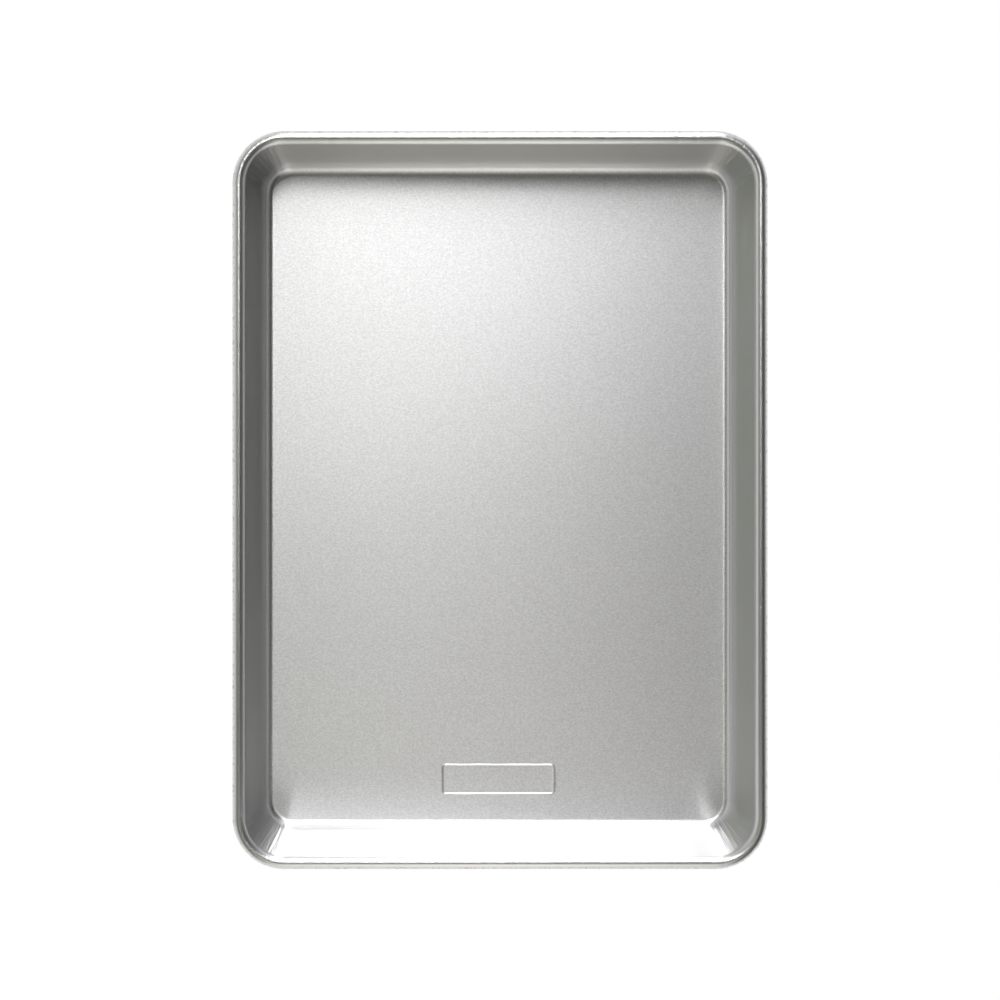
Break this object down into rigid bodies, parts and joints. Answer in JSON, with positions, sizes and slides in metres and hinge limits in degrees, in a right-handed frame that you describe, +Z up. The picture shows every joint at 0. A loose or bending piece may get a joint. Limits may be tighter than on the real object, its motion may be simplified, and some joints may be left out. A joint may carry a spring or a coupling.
{
  "type": "sheet cake pan",
  "caption": "Deep rectangular baking pan of pressed aluminium with sloped walls, round corners, a rolled rim over a steel wire and a bare embossed frame on the floor.",
  "frame": {"origin": "under the middle of the floor, on the surface that the pan stands on", "axes": "+X across the pan, +Y along its length away from the embossed frame, +Z up out of the open top"},
  "size_m": [0.33, 0.455, 0.051],
  "materials": {
    "shell": "natural, satin on the floor and brighter on the drawn walls and rim",
    "wire": "galvanised, dull grey"
  },
  "bodies": {
    "root": {"pan_shell": "shell", "rim_wire": "wire"}
  },
  "joints": []
}
